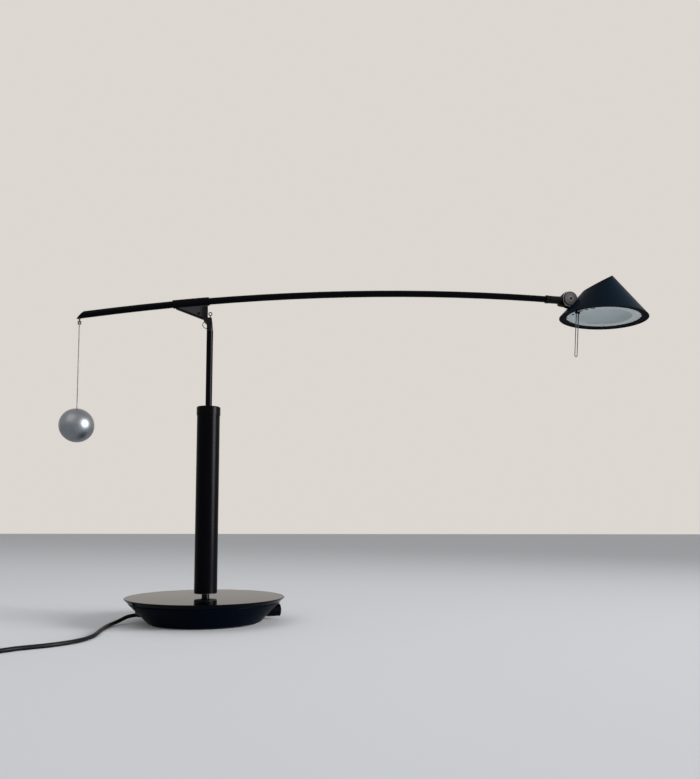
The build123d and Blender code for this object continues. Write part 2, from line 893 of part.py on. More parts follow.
# reflector: flat flange with five slots on the arm's side, then a deep bowl
flange_top = ring_high + reflector_t
apex_top = reflector_apex + reflector_t
swell_r = 0.809 * reflector_bowl_r
swell_h = 0.637 * reflector_apex
with BuildPart() as reflector:
    with BuildSketch(shade_side):
        with BuildLine():
            Line((reflector_r, ring_high), (reflector_bowl_r, ring_high))
            ThreePointArc(
                (reflector_bowl_r, ring_high),
                (swell_r, swell_h),
                (reflector_neck_r, reflector_apex),
            )
            Polyline(
                (reflector_neck_r, reflector_apex),
                (reflector_hole_r, reflector_apex),
                (reflector_hole_r, apex_top),
                (reflector_neck_r + reflector_t / 2, apex_top),
            )
            ThreePointArc(
                (reflector_neck_r + reflector_t / 2, apex_top),
                (swell_r + 0.8 * reflector_t, swell_h + 0.65 * reflector_t),
                (reflector_bowl_r + reflector_t, flange_top),
            )
            Polyline(
                (reflector_bowl_r + reflector_t, flange_top),
                (reflector_r, flange_top),
                (reflector_r, ring_high),
            )
        make_face()
    revolve(axis=shade_axis)
    with BuildSketch(shade_base.offset(ring_high)):
        with PolarLocations(
            slot_ring_r,
            slot_count,
            start_angle=slot_first,
            angular_range=slot_pitch * (slot_count - 1),
            endpoint=True,
        ):
            SlotOverall(7, 4.4, rotation=90)
    extrude(amount=2, both=True, mode=Mode.SUBTRACT)
finish(reflector, "reflector")

# two bright spring clips at the ends of the mouth
with BuildPart() as reflector_clips:
    for clip_angle in (150, 330):
        turn = Location(shade_at) * Rotation(0, shade_tilt, 0) * Rotation(0, 0, clip_angle)
        with BuildSketch(Plane(turn).offset(ring_low - 0.6)):
            with Locations((mouth_r - 0.56, 0)):
                Rectangle(1.0, 5)
        extrude(amount=ring_high - ring_low + 0.6)
        with BuildSketch(Plane(turn).offset(ring_high - 0.6)):
            with Locations((mouth_r - 2.5, 0)):
                Rectangle(3.0, 4)
        extrude(amount=0.6)
finish(reflector_clips, "reflector_clips")

# ceramic holder on top of the reflector, and the halogen capsule in it
with BuildPart() as lamp_holder:
    with BuildSketch(shade_side):
        outline(
            (0, apex_top + 4),
            (6.0, apex_top + 4),
            (6.0, apex_top),
            (holder_r, apex_top),
            (holder_r, apex_top + holder_h - 1),
            (holder_r - 1, apex_top + holder_h),
            (0, apex_top + holder_h),
        )
    revolve(axis=shade_axis)
    with BuildSketch(shade_base.offset(apex_top + 4)):
        with Locations((-2.1, 0), (2.1, 0)):
            Circle(0.6)
    extrude(amount=5, mode=Mode.SUBTRACT)
finish(lamp_holder, "lamp_holder")

with BuildPart() as halogen_capsule:
    with BuildSketch(shade_side):
        with BuildLine():
            ThreePointArc(
                (0, capsule_tip),
                (capsule_r * 0.7071, capsule_tip + capsule_r * 0.2929),
                (capsule_r, capsule_tip + capsule_r),
            )
            Polyline(
                (capsule_r, capsule_tip + capsule_r),
                (capsule_r, apex_top - 1),
                (3.4, apex_top + 1.4),
                (3.4, apex_top + 4),
                (0, apex_top + 4),
                (0, capsule_tip),
            )
        make_face()
    revolve(axis=shade_axis)
finish(halogen_capsule, "halogen_capsule")

with BuildPart() as capsule_pins:
    with BuildSketch(shade_base.offset(apex_top + 4)):
        with Locations((-2.1, 0), (2.1, 0)):
            Circle(0.6)
    extrude(amount=5)
finish(capsule_pins, "capsule_pins")

# thin bent wire that serves as the handle of the hot head
handle_turn = Location(shade_at) * Rotation(0, shade_tilt, 0) * Rotation(0, 0, handle_angle)
handle_side = Plane(handle_turn * Rotation(90, 0, 0))
block_low = ring_high - 3.0
with BuildPart() as handle_block:
    with BuildSketch(Plane(handle_turn).offset(block_low)):
        with Locations((handle_r, 0)):
            Rectangle(handle_gap + 3.2, 3.2)
        with Locations((handle_r - handle_gap / 2, 0), (handle_r + handle_gap / 2, 0)):
            Circle(handle_wire_r, mode=Mode.SUBTRACT)
    extrude(amount=ring_high - block_low)
finish(handle_block, "handle_block")

with BuildPart() as handle_wire:
    with BuildLine() as bend:
        near = handle_r - handle_gap / 2
        far = handle_r + handle_gap / 2
        low = handle_low + handle_gap / 2
        with BuildLine(handle_side):
            Line((near, ring_high), (near, low))
            ThreePointArc((near, low), (handle_r, handle_low), (far, low))
            Line((far, low), (far, ring_high))
    with BuildSketch(Plane(handle_turn).offset(ring_high)):
        with Locations((near, 0)):
            Circle(handle_wire_r)
    sweep(path=bend.wires()[0])
finish(handle_wire, "handle_wire")

# moving half of the disc joint with the lug that carries the shade
lug_in = Vector(cut_normal.X, cut_normal.Y)
flank_t = (shade_out * (shade_r / math.hypot(shade_r, shade_h))
           + shade_up * (shade_h / math.hypot(shade_r, shade_h)))
flank_n = flank_t.cross(Vector(0, 1, 0)) * -1
lug_side = Plane(origin=(disc_x, 0, disc_z), x_dir=flank_t, z_dir=(0, -1, 0))
with BuildPart() as head_disc:
    with BuildSketch(lug_side.offset(disc_half_gap + 0.5)):
        with Locations((4, -11.5)):
            Rectangle(32, 9)
    extrude(amount=disc_t - 0.5)
    with BuildPart(mode=Mode.PRIVATE) as inner_cone:
        with BuildSketch(shade_side):
            outline((shade_r - wall_across, 0), (0, shade_h - wall_up), (0, 0))
        revolve(axis=shade_axis)
    add(inner_cone.part, mode=Mode.INTERSECT)
    with BuildSketch(lug_side.offset(disc_half_gap + 0.5)):
        with Locations((0, -12)):
            Rectangle(12, 8)
    extrude(amount=disc_t - 0.5)
    with BuildSketch(lug_side.offset(disc_half_gap)):
        Circle(disc_r)
    extrude(amount=disc_t - rim_drop)
    with BuildSketch(lug_side.offset(disc_half_gap)):
        Circle(hub_r)
    extrude(amount=disc_t)
    with BuildSketch(lug_side.offset(disc_half_gap + disc_t)):
        Circle(hub_r - 0.8)
        Circle(4.6, mode=Mode.SUBTRACT)
    extrude(amount=-0.4, mode=Mode.SUBTRACT)
    with BuildSketch(lug_side.offset(disc_half_gap + disc_t - rim_drop)):
        Circle(disc_r - 0.7)
        Circle(hub_r, mode=Mode.SUBTRACT)
    extrude(amount=-0.5, mode=Mode.SUBTRACT)
    with BuildSketch(lug_side):
        Circle(3.0 + run_fit)
    extrude(amount=20, mode=Mode.SUBTRACT)
finish(head_disc, "head_disc")

# ---------------------------------------------------------------- mains lead
# Route of the free lead, chosen by hand: out of the relief, down to the
# table, round the front of the base and away to the coil.
lead_route = [
    (-72, 0, exit_z),
    (-112, 0, exit_z),
    (-131, -18, 5.0),
    (-132, -52, cord_d / 2),
    (-131, -88, cord_d / 2),
    (-136, -128, cord_d / 2),
    (-150, -166, cord_d / 2),
    (-176, -196, cord_d / 2),
    (-206, -216, cord_d / 2),
    (-225, -240, cord_d / 2),
    (coil_x + coil_r + coil_turns * coil_pitch, -266, cord_d / 2),
    (coil_x + coil_r + coil_turns * coil_pitch, coil_y, cord_d / 2),
]

top_z = cord_d / 2 + coil_step
coil_out_x = coil_x - coil_r - coil_turns * coil_pitch
plug_z = 6.9
tail_route = [
    (coil_out_x, coil_y, top_z),
    (coil_out_x, -264, top_z),
    (coil_out_x + 2, -238, 4.2),
    (coil_out_x + 6, -214, plug_z),
    (coil_out_x + 8, -202, plug_z),
]


def bend_radii(route):
    """Radius at each inner point: 0.45 of its shorter run over tan of half its turn."""
    radii = []
    for a, b, c in zip(route, route[1:], route[2:]):
        before = Vector(*b) - Vector(*a)
        after = Vector(*c) - Vector(*b)
        half = math.radians(before.get_angle(after)) / 2
        radii.append(0.45 * min(before.length, after.length) / math.tan(half))
    return radii


def tube_length(route):
    """Length of the runs once their corners are rounded."""
    total = sum((Vector(*b) - Vector(*a)).length for a, b in zip(route, route[1:]))
    for (a, b, c), r in zip(zip(route, route[1:], route[2:]), bend_radii(route)):
        turn = math.radians((Vector(*b) - Vector(*a)).get_angle(Vector(*c) - Vector(*b)))
        total += r * (turn - 2 * math.tan(turn / 2))
    return total


with BuildPart() as mains_cord:
    with BuildLine() as lead_path:
        FilletPolyline(*lead_route, radius=bend_radii(lead_route))
    with BuildSketch(Plane(lead_path.line @ 0, z_dir=lead_path.line % 0)):
        Circle(cord_d / 2)
    sweep()
finish(mains_cord, "mains_cord")

with BuildPart() as cord_tail:
    with BuildLine() as tail_path:
        FilletPolyline(*tail_route, radius=bend_radii(tail_route))
    with BuildSketch(Plane(tail_path.line @ 0, z_dir=tail_path.line % 0)):
        Circle(cord_d / 2)
    sweep()
finish(cord_tail, "cord_tail")

# The rest of the lead is wound in two layers: inwards on the table, up one
# step, and outwards on top. Each half turn is a half circle between two
# points on the coil's own X line.
coil_stops = []
for half in range(2 * coil_turns + 1):
    side = 1 if half % 2 == 0 else -1
    away = coil_r + coil_pitch * (coil_turns - half / 2)
    coil_stops.append((side * away, cord_d / 2))
for half in range(2 * coil_turns + 1):
    side = -1 if half % 2 == 0 else 1
    coil_stops.append((side * (coil_r + coil_pitch * half / 2), top_z))

with BuildPart() as cord_coil:
    with BuildLine() as coil_path:
        for (x0, z0), (x1, z1) in zip(coil_stops, coil_stops[1:]):
            mid_x = (x0 + x1) / 2
            swing = math.hypot(x1 - x0, z1 - z0) / 2
            bulge = -swing if x0 > x1 else swing
            ThreePointArc(
                (coil_x + x0, coil_y, z0),
                (coil_x + mid_x, coil_y + bulge, (z0 + z1) / 2),
                (coil_x + x1, coil_y, z1),
            )
    with BuildSketch(Plane(coil_path.line @ 0, z_dir=coil_path.line % 0)):
        Circle(cord_d / 2)
    sweep()
finish(cord_coil, "cord_coil")

# flat two pin plug lying beside the coil
plug_dir = (Vector(*tail_route[-1]) - Vector(*tail_route[-2])).normalized()
plug_at = Vector(*tail_route[-1])
plug_face = Plane(origin=plug_at, x_dir=Vector(0, 0, 1).cross(plug_dir) * -1, z_dir=plug_dir)
with BuildPart() as plug_body:
    with BuildSketch(plug_face):
        Circle(4.2)
    with BuildSketch(plug_face.offset(16)):
        RectangleRounded(24, 11, 4)
    loft()
    with BuildSketch(plug_face.offset(16)):
        RectangleRounded(24, 11, 4)
    with BuildSketch(plug_face.offset(36)):
        RectangleRounded(35, 13.7, 5)
    loft()
    fillet(plug_body.faces().sort_by(Axis.Y)[-1].edges(), 1.0)
finish(plug_body, "plug_body")

with BuildPart() as plug_pins:
    with BuildSketch(plug_face.offset(36)):
        with Locations((-9.3, 0), (9.3, 0)):
            Circle(2)
    extrude(amount=19)
    fillet(plug_pins.edges().group_by(Axis.Y)[-1], 1.2)
finish(plug_pins, "plug_pins")

# short low voltage jumper that loops out beside the fork
jumper_route = [
    (-4.2, 0, 434.0),
    (-8.6, 0, 435.2),
    (-11.4, 0, 439.6),
    (-9.6, 0, 443.4),
    (-6.4, 0, 444.6),
]
with BuildPart() as jumper_lead:
    with BuildLine() as jumper_path:
        FilletPolyline(*jumper_route, radius=bend_radii(jumper_route))
    with BuildSketch(Plane(jumper_path.line @ 0, z_dir=jumper_path.line % 0)):
        Circle(0.5)
    sweep()
finish(jumper_lead, "jumper_lead")


# --------------------------------------------------------- figures to check
def coil_point(index, part):
    """Point on one half turn of the coil, part 0 to 1 along it."""
    (x0, z0), (x1, z1) = coil_stops[index], coil_stops[index + 1]
    swing = math.hypot(x1 - x0, z1 - z0) / 2
    lift = math.sin(math.pi * part) * (-swing if x0 > x1 else swing)
    along = (1 - math.cos(math.pi * part)) / 2
    return Vector(x0 + (x1 - x0) * along, lift, z0 + (z1 - z0) * along)


def least_gap(samples=24):
    """Smallest clear distance between turns that aren't next along the lead."""
    halves = len(coil_stops) - 1
    line = [coil_point(i, s / samples) for i in range(halves) for s in range(samples)]
    best = 1e9
    for a in range(len(line)):
        for b in range(a + samples, len(line)):
            best = min(best, (line[a] - line[b]).length)
    return best - cord_d


coil_length = sum(
    math.pi * math.hypot(x1 - x0, z1 - z0) / 2
    for (x0, z0), (x1, z1) in zip(coil_stops, coil_stops[1:])
)
section = math.pi * cord_d**2 / 4
for title, builder, length in (
    ("run", mains_cord, tube_length(lead_route)),
    ("coil", cord_coil, coil_length),
    ("tail", cord_tail, tube_length(tail_route)),
):
    ratio = builder.part.volume / (section * length)
    print(title, "length", round(length, 1), "volume ratio", round(ratio, 4))
print("run radii", [round(r, 1) for r in bend_radii(lead_route)])
print("tail radii", [round(r, 1) for r in bend_radii(tail_route)])
print("jumper radii", [round(r, 1) for r in bend_radii(jumper_route)])
print("coil least gap", round(least_gap(), 2))
outside = tube_length(lead_route) - (relief_end + lead_route[0][0])
print("lead from relief to plug", round(outside + coil_length + tube_length(tail_route), 1))
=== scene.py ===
import math

import bmesh
import bpy
from mathutils import Matrix, Vector


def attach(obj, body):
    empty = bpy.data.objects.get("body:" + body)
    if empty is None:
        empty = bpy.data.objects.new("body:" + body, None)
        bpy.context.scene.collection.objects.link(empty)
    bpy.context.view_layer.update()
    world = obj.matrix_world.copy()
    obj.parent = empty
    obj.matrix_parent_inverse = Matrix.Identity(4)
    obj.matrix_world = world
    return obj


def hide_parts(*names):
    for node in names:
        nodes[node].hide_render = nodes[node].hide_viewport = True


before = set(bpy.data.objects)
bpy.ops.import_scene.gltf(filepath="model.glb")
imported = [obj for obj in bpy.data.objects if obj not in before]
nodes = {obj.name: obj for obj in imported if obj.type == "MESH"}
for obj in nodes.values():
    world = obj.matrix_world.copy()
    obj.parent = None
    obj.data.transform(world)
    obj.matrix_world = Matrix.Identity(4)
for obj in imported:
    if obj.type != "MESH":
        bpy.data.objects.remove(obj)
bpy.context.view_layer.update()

# Camera ---------------------------------------------------------------------
# Stands in front of the base a little above the table and looks slightly up
# at the arm, as in the photograph. The small shift only frames the lamp.
camera_at = Vector((0.0312, -1.1168, 0.1485))
camera_forward = Vector((0.1606, 0.9847, 0.0678)).normalized()
camera_up = Vector((-0.0109, -0.067, 0.9977)).normalized()
roll_degrees = -0.22
camera_right = camera_forward.cross(camera_up).normalized()
camera_up = camera_right.cross(camera_forward)
camera_roll = Matrix.Rotation(math.radians(roll_degrees), 3, camera_forward)
camera_right = camera_roll @ camera_right
camera_up = camera_roll @ camera_up
camera_data = bpy.data.cameras.new("camera")
camera_data.lens = 34.37
camera_data.sensor_width = 36.0
camera_data.sensor_fit = "AUTO"
camera_data.shift_y = 0.1033
camera_data.clip_end = 50.0
camera = bpy.data.objects.new("camera", camera_data)
bpy.context.collection.objects.link(camera)
camera_turn = Matrix((camera_right, camera_up, -camera_forward)).transposed()
camera.matrix_world = Matrix.Translation(camera_at) @ camera_turn.to_4x4()
bpy.context.scene.camera = camera


# Mains lead -----------------------------------------------------------------
# Round black PVC lead, 5.5 mm thick. It leaves the strain relief, drops to the
# table and runs round to a wound coil, with its flat plug beside the coil.
def new_material(name, colour, rough, metallic=0.0):
    """Material with one Principled shader, its constants on its own sockets."""
    material = bpy.data.materials.new(name)
    material.use_nodes = True
    shader = material.node_tree.nodes["Principled BSDF"]
    shader.inputs["Base Color"].default_value = (*colour, 1.0)
    shader.inputs["Roughness"].default_value = rough
    shader.inputs["Metallic"].default_value = metallic
    return material, shader


def set_specular(shader, level):
    """How strongly the surface mirrors straight on."""
    shader.inputs["Specular IOR Level"].default_value = level


def object_noise(material, scale, detail=3.0, stretch=(1.0, 1.0, 1.0)):
    """Noise on Object coordinates, in features per metre."""
    tree = material.node_tree
    where = tree.nodes.new("ShaderNodeTexCoord")
    place = tree.nodes.new("ShaderNodeMapping")
    place.inputs["Scale"].default_value = stretch
    noise = tree.nodes.new("ShaderNodeTexNoise")
    noise.inputs["Scale"].default_value = scale
    noise.inputs["Detail"].default_value = detail
    tree.links.new(where.outputs["Object"], place.inputs["Vector"])
    tree.links.new(place.outputs["Vector"], noise.inputs["Vector"])
    return noise


# Most of a noise lies between these two values.
noise_low = 0.3
noise_high = 0.7


def vary(material, shader, noise, socket, low, high):
    """Drives a socket with the noise, between two values or two colours."""
    tree = material.node_tree
    if socket == "Base Color":
        ramp = tree.nodes.new("ShaderNodeValToRGB")
        ramp.color_ramp.elements[0].position = noise_low
        ramp.color_ramp.elements[1].position = noise_high
        ramp.color_ramp.elements[0].color = (*low, 1.0)
        ramp.color_ramp.elements[1].color = (*high, 1.0)
        tree.links.new(noise.outputs["Fac"], ramp.inputs["Fac"])
        tree.links.new(ramp.outputs["Color"], shader.inputs[socket])
    else:
        span = tree.nodes.new("ShaderNodeMapRange")
        span.inputs["From Min"].default_value = noise_low
        span.inputs["From Max"].default_value = noise_high
        span.inputs["To Min"].default_value = low
        span.inputs["To Max"].default_value = high
        tree.links.new(noise.outputs["Fac"], span.inputs["Value"])
        tree.links.new(span.outputs["Result"], shader.inputs[socket])


def grain(material, shader, noise, height):
    """Bump from the noise, its height in metres."""
    tree = material.node_tree
    bump = tree.nodes.new("ShaderNodeBump")
    bump.inputs["Strength"].default_value = 1.0
    bump.inputs["Distance"].default_value = height
    tree.links.new(noise.outputs["Fac"], bump.inputs["Height"])
    tree.links.new(bump.outputs["Normal"], shader.inputs["Normal"])


def finish_nodes(material, *names):
    """Gives the material to these CAD nodes."""
    for name in names:
        mesh = nodes[name].data
        mesh.materials.clear()
        mesh.materials.append(material)


cord_black, shader = new_material("cord_pvc", (0.003, 0.003, 0.0035), 0.45)
set_specular(shader, 0.1)
vary(cord_black, shader, object_noise(cord_black, 60.0), "Roughness", 0.36, 0.5)
grain(cord_black, shader, object_noise(cord_black, 900.0), 0.00004)

cord_thick = 0.0055
floor_z = cord_thick / 2
coil_at = (-0.272, -0.288)
coil_inner = 0.022
coil_pitch = 0.0070
coil_step = 0.0064
coil_turns = 3
coil_outer = coil_inner + coil_turns * coil_pitch
half_points = 8
# The curve runs just inside its control points, so these lie a little wider.
coil_swell = 1.01

lead_points = [
    (-0.072, 0.0, 0.013),
    (-0.105, 0.0, 0.0125),
    (-0.1195, -0.011, 0.0050),
    (-0.131, -0.040, floor_z),
    (-0.1335, -0.088, floor_z),
    (-0.1325, -0.131, floor_z),
    (-0.144, -0.172, floor_z),
    (-0.174, -0.200, floor_z),
    (-0.206, -0.216, floor_z),
    (-0.225, -0.240, floor_z),
    (coil_at[0] + coil_outer, -0.266, floor_z),
]


def coil_points():
    """Control points of the coil, by half turns: in along the table, up, out on top."""
    halves = 2 * coil_turns + 1
    stops = [(coil_outer - coil_pitch * i / 2, 0) for i in range(halves)]
    stops += [(coil_inner + coil_pitch * i / 2, 1) for i in range(halves)]
    line = []
    for i, ((start_r, start_layer), (end_r, end_layer)) in enumerate(zip(stops, stops[1:])):
        side = 1 if i % 2 == 0 else -1
        middle = side * (start_r - end_r) / 2
        half_r = coil_swell * (start_r + end_r) / 2
        for k in range(half_points):
            turn = math.pi * (k + 0.5) / half_points
            x = coil_at[0] + middle + side * half_r * math.cos(turn)
            y = coil_at[1] - side * half_r * math.sin(turn)
            layer = start_layer + (end_layer - start_layer) * (1 - math.cos(turn)) / 2
            line.append((x, y, floor_z + layer * coil_step))
    return line


coil_out_x = coil_at[0] - coil_outer
tail_points = [
    (coil_out_x, -0.264, floor_z + coil_step),
    (coil_out_x + 0.002, -0.238, 0.0042),
    (coil_out_x + 0.006, -0.214, 0.0069),
    (coil_out_x + 0.008, -0.202, 0.0069),
]
route = lead_points + coil_points() + tail_points
cord_curve = bpy.data.curves.new("mains_lead", "CURVE")
cord_curve.dimensions = "3D"
cord_curve.bevel_depth = cord_thick / 2
cord_curve.bevel_resolution = 5
cord_curve.resolution_u = 6
spline = cord_curve.splines.new("NURBS")
spline.points.add(len(route) - 1)
for point, place in zip(spline.points, route):
    point.co = (*place, 1.0)
spline.order_u = 3
spline.use_endpoint_u = True
cord_curve.materials.append(cord_black)
mains_lead = bpy.data.objects.new("mains_lead", cord_curve)
bpy.context.collection.objects.link(mains_lead)
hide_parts("mains_cord", "cord_coil", "cord_tail")
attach(mains_lead, "base")


# Floor and light ------------------------------------------------------------
# Plain pale table top in an even pale surround. One far lamp at the right gives
# the edges and the shadow, and a large soft one at the front left fills the rest.
floor_half = 7.0


def lay_floor():
    """Flat pale ground under the lamp."""
    material, shader = new_material("floor_pale", (0.56, 0.575, 0.59), 0.85)
    set_specular(shader, 0.05)
    vary(material, shader, object_noise(material, 3.0), "Roughness", 0.8, 0.9)
    mesh = bpy.data.meshes.new("floor")
    made = bmesh.new()
    bmesh.ops.create_grid(made, x_segments=1, y_segments=1, size=floor_half)
    made.to_mesh(mesh)
    made.free()
    mesh.materials.append(material)
    floor = bpy.data.objects.new("floor", mesh)
    bpy.context.collection.objects.link(floor)


def paint_surround():
    """Even room light, which shows as a plain backdrop directly, in gloss and in glass."""
    world = bpy.data.worlds.new("surround")
    world.use_nodes = True
    bpy.context.scene.world = world
    tree = world.node_tree
    room = tree.nodes["Background"]
    room.inputs["Color"].default_value = (0.73, 0.73, 0.74, 1.0)
    room.inputs["Strength"].default_value = 0.74
    backdrop = tree.nodes.new("ShaderNodeBackground")
    backdrop.inputs["Color"].default_value = (0.72, 0.68, 0.64, 1.0)
    backdrop.inputs["Strength"].default_value = 1.0
    ray = tree.nodes.new("ShaderNodeLightPath")
    seen = ray.outputs["Is Camera Ray"]
    for kind in ("Is Glossy Ray", "Is Transmission Ray"):
        either = tree.nodes.new("ShaderNodeMath")
        either.operation = "MAXIMUM"
        tree.links.new(seen, either.inputs[0])
        tree.links.new(ray.outputs[kind], either.inputs[1])
        seen = either.outputs["Value"]
    choice = tree.nodes.new("ShaderNodeMixShader")
    tree.links.new(seen, choice.inputs["Fac"])
    tree.links.new(room.outputs["Background"], choice.inputs[1])
    tree.links.new(backdrop.outputs["Background"], choice.inputs[2])
    tree.links.new(choice.outputs["Shader"], tree.nodes["World Output"].inputs["Surface"])


def add_lamp(name, place, aim, size, power, spread):
    """Soft square area lamp that faces a point, its beam this many degrees wide."""
    light = bpy.data.lights.new(name, "AREA")
    light.size = size
    light.energy = power
    light.spread = math.radians(spread)
    lamp = bpy.data.objects.new(name, light)
    lamp.location = place
    aim_at = (Vector(aim) - Vector(place)).to_track_quat("-Z", "Y")
    lamp.rotation_euler = aim_at.to_euler()
    bpy.context.collection.objects.link(lamp)


lay_floor()
bpy.context.scene.view_settings.view_transform = "Standard"
paint_surround()
add_lamp(
    "key_right",
    place=(4.4, -1.95, 1.2),
    aim=(0.0, 0.0, 0.28),
    size=2.1,
    power=44.0,
    spread=50,
)
add_lamp(
    "soft_front",
    place=(-1.5, -1.7, 2.4),
    aim=(0.1, 0.0, 0.2),
    size=2.6,
    power=17.0,
    spread=180,
)


# Base bowl and top plate ----------------------------------------------------
# Spun steel bowl in blue black lacquer under a thick turned plate. The plate's
# top is polished lacquer, which mirrors the column with faint turning marks.
def ring_distance(material, centre, along):
    """Distance from an axis through centre, in metres, on Object coordinates."""
    tree = material.node_tree
    where = tree.nodes.new("ShaderNodeTexCoord")
    apart = tree.nodes.new("ShaderNodeVectorMath")
    apart.operation = "SUBTRACT"
    apart.inputs[1].default_value = centre
    flat = tree.nodes.new("ShaderNodeVectorMath")
    flat.operation = "MULTIPLY"
    flat.inputs[1].default_value = [0.0 if axis == along else 1.0 for axis in "xyz"]
    length = tree.nodes.new("ShaderNodeVectorMath")
    length.operation = "LENGTH"
    tree.links.new(where.outputs["Object"], apart.inputs[0])
    tree.links.new(apart.outputs["Vector"], flat.inputs[0])
    tree.links.new(flat.outputs["Vector"], length.inputs[0])
    return length


def turning_marks(material, distance, per_metre):
    """Fine rings about the axis, as a lathe or a spinning tool leaves."""
    tree = material.node_tree
    rings = tree.nodes.new("ShaderNodeTexNoise")
    rings.noise_dimensions = "1D"
    rings.inputs["Scale"].default_value = per_metre
    rings.inputs["Detail"].default_value = 2.0
    tree.links.new(distance.outputs["Value"], rings.inputs["W"])
    return rings


base_centre = (0.0, 0.0, 0.0)
bowl_lacquer, shader = new_material("bowl_lacquer", (0.0004, 0.0018, 0.0050), 0.26)
set_specular(shader, 0.010)
vary(bowl_lacquer, shader, object_noise(bowl_lacquer, 45.0), "Roughness", 0.24, 0.36)
axle = ring_distance(bowl_lacquer, base_centre, "z")
grain(bowl_lacquer, shader, turning_marks(bowl_lacquer, axle, 2500.0), 0.00001)
finish_nodes(bowl_lacquer, "base_bowl")

plate_lacquer, shader = new_material("plate_lacquer", (0.0006, 0.0010, 0.0018), 0.07)
set_specular(shader, 0.024)
vary(plate_lacquer, shader, object_noise(plate_lacquer, 30.0), "Roughness", 0.05, 0.09)
axle = ring_distance(plate_lacquer, base_centre, "z")
grain(plate_lacquer, shader, turning_marks(plate_lacquer, axle, 900.0), 0.000002)
finish_nodes(plate_lacquer, "top_plate")


# Foot mat and bottom cover --------------------------------------------------
# Plain black rubber mat under a zinc plated sheet cover, which three steel
# screws hold in the bowl.
mat_rubber, shader = new_material("mat_rubber", (0.012, 0.012, 0.012), 0.85)
patches = object_noise(mat_rubber, 70.0)
vary(mat_rubber, shader, patches, "Base Color", (0.009, 0.009, 0.009), (0.018, 0.017, 0.017))
grain(mat_rubber, shader, object_noise(mat_rubber, 1300.0), 0.00006)
finish_nodes(mat_rubber, "foot_mat")

zinc_sheet, shader = new_material("zinc_sheet", (0.42, 0.43, 0.44), 0.38, 1.0)
vary(zinc_sheet, shader, object_noise(zinc_sheet, 120.0, 5.0), "Roughness", 0.28, 0.5)
patches = object_noise(zinc_sheet, 55.0, 4.0)
vary(zinc_sheet, shader, patches, "Base Color", (0.36, 0.37, 0.39), (0.5, 0.5, 0.5))
finish_nodes(zinc_sheet, "bottom_cover")

screw_steel, shader = new_material("screw_steel", (0.32, 0.33, 0.34), 0.3, 1.0)
vary(screw_steel, shader, object_noise(screw_steel, 400.0), "Roughness", 0.22, 0.42)
grain(screw_steel, shader, object_noise(screw_steel, 1800.0), 0.00001)
finish_nodes(screw_steel, "cover_screws")


# Inside the base ------------------------------------------------------------
# Ring transformer wound in lacquered copper, clamped under the post's flange
# between a soft pad and a zinc plated washer and nut. Beside it are the dimmer
# board, its choke and the screw terminals.
def winding_rings(material, per_metre):
    """Even rings about the Z axis of the Object coordinates, as in a wound ring."""
    tree = material.node_tree
    where = tree.nodes.new("ShaderNodeTexCoord")
    rings = tree.nodes.new("ShaderNodeTexWave")
    rings.wave_type = "RINGS"
    rings.rings_direction = "Z"
    rings.inputs["Scale"].default_value = per_metre
    rings.inputs["Distortion"].default_value = 0.6
    rings.inputs["Detail"].default_value = 1.0
    tree.links.new(where.outputs["Object"], rings.inputs["Vector"])
    return rings


winding, shader = new_material("copper_winding", (0.36, 0.13, 0.04), 0.35, 0.3)
patches = object_noise(winding, 160.0)
vary(winding, shader, patches, "Base Color", (0.26, 0.085, 0.025), (0.42, 0.16, 0.05))
grain(winding, shader, winding_rings(winding, 700.0), 0.0003)
finish_nodes(winding, "transformer", "dimmer_choke")
finish_nodes(zinc_sheet, "transformer_washer", "post_nut")

washer_pad, shader = new_material("washer_pad", (0.10, 0.10, 0.11), 0.9)
patches = object_noise(washer_pad, 350.0)
vary(washer_pad, shader, patches, "Base Color", (0.07, 0.07, 0.08), (0.14, 0.13, 0.13))
finish_nodes(washer_pad, "transformer_pad")

board_green, shader = new_material("board_green", (0.02, 0.12, 0.05), 0.4)
patches = object_noise(board_green, 600.0)
vary(board_green, shader, patches, "Base Color", (0.015, 0.09, 0.035), (0.03, 0.16, 0.07))
finish_nodes(board_green, "dimmer_board")

terminal_plastic, shader = new_material("terminal_plastic", (0.62, 0.60, 0.54), 0.5)
vary(terminal_plastic, shader, object_noise(terminal_plastic, 90.0), "Roughness", 0.42, 0.6)
grain(terminal_plastic, shader, object_noise(terminal_plastic, 1500.0), 0.00002)
finish_nodes(terminal_plastic, "terminal_block")


# Dimmer knob ----------------------------------------------------------------
# Moulded black plastic with a slightly domed end, a fine groove and a pointer
# dot, pushed on the steel shaft of the potentiometer.
knob_plastic, shader = new_material("knob_plastic", (0.0012, 0.0012, 0.0020), 0.38)
set_specular(shader, 0.035)
vary(knob_plastic, shader, object_noise(knob_plastic, 80.0), "Roughness", 0.32, 0.46)
grain(knob_plastic, shader, object_noise(knob_plastic, 2200.0), 0.000018)
finish_nodes(knob_plastic, "dimmer_knob")

shaft_steel, shader = new_material("shaft_steel", (0.30, 0.31, 0.32), 0.28, 1.0)
vary(shaft_steel, shader, object_noise(shaft_steel, 300.0), "Roughness", 0.2, 0.38)
finish_nodes(shaft_steel, "dimmer_shaft", "potentiometer")


# Column ---------------------------------------------------------------------
# Sleeve tube in satin black powder coat that turns on the post, with a collar
# and a thin stem in the same black on top and plastic bushes inside.
sleeve_coat, shader = new_material("sleeve_coat", (0.0006, 0.0006, 0.0016), 0.3)
set_specular(shader, 0.035)
streaks = object_noise(sleeve_coat, 40.0, stretch=(1.0, 1.0, 0.25))
vary(sleeve_coat, shader, streaks, "Roughness", 0.26, 0.35)
grain(sleeve_coat, shader, object_noise(sleeve_coat, 1500.0), 0.00002)
finish_nodes(sleeve_coat, "sleeve_tube")

